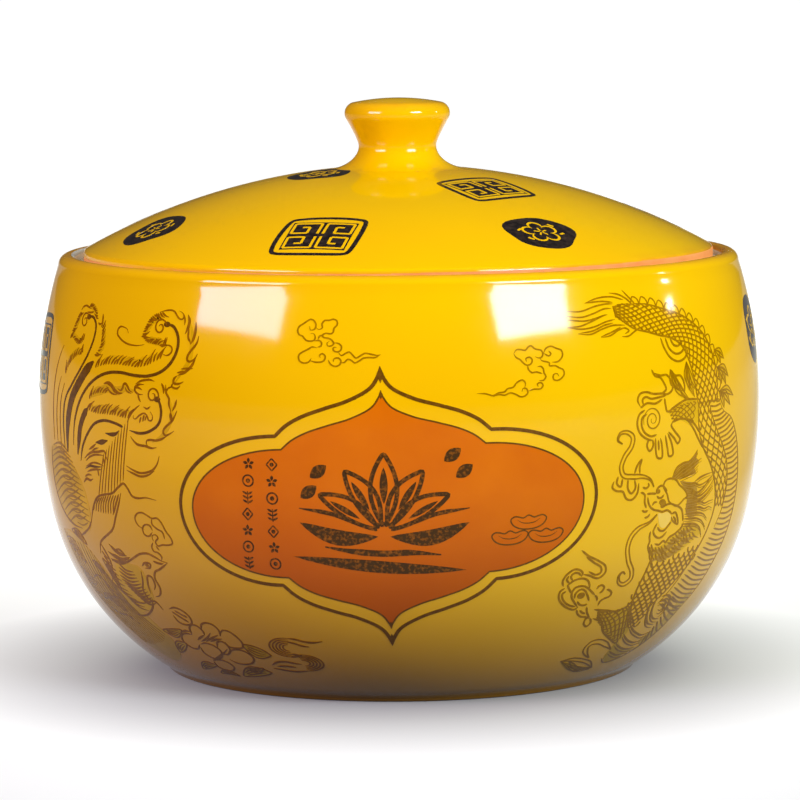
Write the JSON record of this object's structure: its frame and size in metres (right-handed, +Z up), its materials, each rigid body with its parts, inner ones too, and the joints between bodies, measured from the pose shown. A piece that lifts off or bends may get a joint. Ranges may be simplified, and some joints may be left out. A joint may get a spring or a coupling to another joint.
{
  "type": "ceramic rice jar",
  "caption": "Squat round glazed ceramic jar with a stepped mouth and a loose domed lid with a knob and a locating collar, for keeping rice and other dry food.",
  "frame": {"origin": "centre of the foot ring, on the surface that the jar stands on", "axes": "+Z up along the jar's turning axis, -Y out of the decorated front, +X to the right of someone facing it"},
  "size_m": [0.26, 0.26, 0.2049],
  "materials": {
    "yellow_glaze": "gloss",
    "white_glaze": "gloss"
  },
  "bodies": {
    "jar": {"jar_body": "yellow_glaze"},
    "lid": {"lid_dome": "yellow_glaze", "lid_collar": "white_glaze", "lid_knob": "yellow_glaze"}
  },
  "joints": [
    {"name": "lid_lift", "type": "slide", "parent": "jar", "child": "lid", "axis": [0, 0, 1], "range_m": [0, 0.12]}
  ]
}
